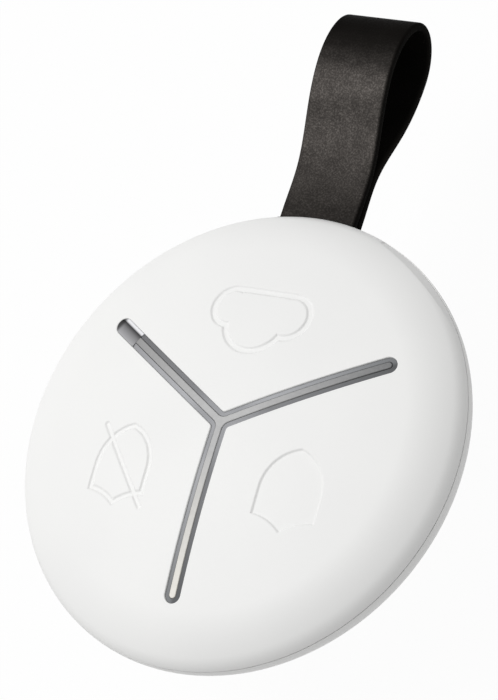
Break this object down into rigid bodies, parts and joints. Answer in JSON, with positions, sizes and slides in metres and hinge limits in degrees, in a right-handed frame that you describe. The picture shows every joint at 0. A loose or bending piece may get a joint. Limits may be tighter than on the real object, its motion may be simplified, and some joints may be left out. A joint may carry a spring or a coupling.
{
  "type": "key fob",
  "caption": "Round lens-shaped wireless key fob with flexing symbol keys, a lit three-armed groove and a black strap loop.",
  "frame": {"origin": "centre of the flat back, on the surface it rests on", "axes": "+Z out of the keys, +Y towards the strap loop, +X to the right seen from the front"},
  "size_m": [0.05, 0.0731, 0.0121],
  "materials": {
    "case_white": "satin moulded, very fine texture",
    "guide_smoky": "smoky clear",
    "strip_white": "translucent milky",
    "strap_black": "fine grained, smooth black edges",
    "frame_black": "moulded matt",
    "board_green": "solder-masked glass laminate",
    "steel": "zinc plated",
    "spring_steel": "nickel plated sheet",
    "cell_steel": "fine brushed can",
    "switch_black": "moulded matt",
    "plunger_grey": "moulded satin",
    "lamp_clear": "clear over pale phosphor",
    "chip_black": "epoxy moulded",
    "crystal_lid": "plated lid",
    "capacitor_tan": "ceramic body",
    "copper": "bare copper track"
  },
  "bodies": {
    "back_half": {"back_shell": "case_white", "strap_tail": "strap_black", "strap_pins": "steel"},
    "strap": {"strap_loop": "strap_black"},
    "front_half": {"front_cover": "case_white", "light_guide": "guide_smoky", "light_strip": "strip_white", "inner_frame": "frame_black", "circuit_board": "board_green", "board_screws": "steel", "key_switches": "switch_black", "status_leds": "lamp_clear", "radio_chip": "chip_black", "crystal": "crystal_lid", "board_capacitors": "capacitor_tan", "antenna": "copper", "battery_holder": "frame_black", "battery_clip": "spring_steel", "negative_contact": "spring_steel", "coin_cell": "cell_steel"},
    "key_cloud": {"key_cloud": "case_white"},
    "cloud_plunger": {"cloud_plunger": "plunger_grey"},
    "key_crossed_shield": {"key_crossed_shield": "case_white"},
    "crossed_shield_plunger": {"crossed_shield_plunger": "plunger_grey"},
    "key_shield": {"key_shield": "case_white"},
    "shield_plunger": {"shield_plunger": "plunger_grey"}
  },
  "joints": [
    {"name": "front_lift", "type": "slide", "parent": "back_half", "child": "front_half", "axis": [0, 0, 1], "range_m": [0, 0.015]},
    {"name": "strap_bend", "type": "hinge", "parent": "back_half", "child": "strap", "pos_m": [0, 0.02575, 0.00585], "axis": [1, 0, 0], "range_deg": [-45, 60], "stiffness_Nm_per_rad": 0.004},
    {"name": "cloud_press", "type": "hinge", "parent": "front_half", "child": "key_cloud", "pos_m": [0, 0.01996, 0.0094], "axis": [1, 0, 0], "range_deg": [0, 1.2], "stiffness_Nm_per_rad": 0.8},
    {"name": "cloud_plunger_travel", "type": "slide", "parent": "front_half", "child": "cloud_plunger", "axis": [0, 0, -1], "range_m": [0, 0.00025]},
    {"name": "crossed_shield_press", "type": "hinge", "parent": "front_half", "child": "key_crossed_shield", "pos_m": [-0.01729, -0.00998, 0.0094], "axis": [-0.5, 0.866, 0], "range_deg": [0, 1.2], "stiffness_Nm_per_rad": 0.8},
    {"name": "crossed_shield_plunger_travel", "type": "slide", "parent": "front_half", "child": "crossed_shield_plunger", "axis": [0, 0, -1], "range_m": [0, 0.00025]},
    {"name": "shield_press", "type": "hinge", "parent": "front_half", "child": "key_shield", "pos_m": [0.01729, -0.00998, 0.0094], "axis": [-0.5, -0.866, 0], "range_deg": [0, 1.2], "stiffness_Nm_per_rad": 0.8},
    {"name": "shield_plunger_travel", "type": "slide", "parent": "front_half", "child": "shield_plunger", "axis": [0, 0, -1], "range_m": [0, 0.00025]}
  ],
  "couplings": [
    {"joint": "cloud_plunger_travel", "follows": "cloud_press", "m_per_rad": 0.00896},
    {"joint": "crossed_shield_plunger_travel", "follows": "crossed_shield_press", "m_per_rad": 0.00896},
    {"joint": "shield_plunger_travel", "follows": "shield_press", "m_per_rad": 0.00896}
  ]
}
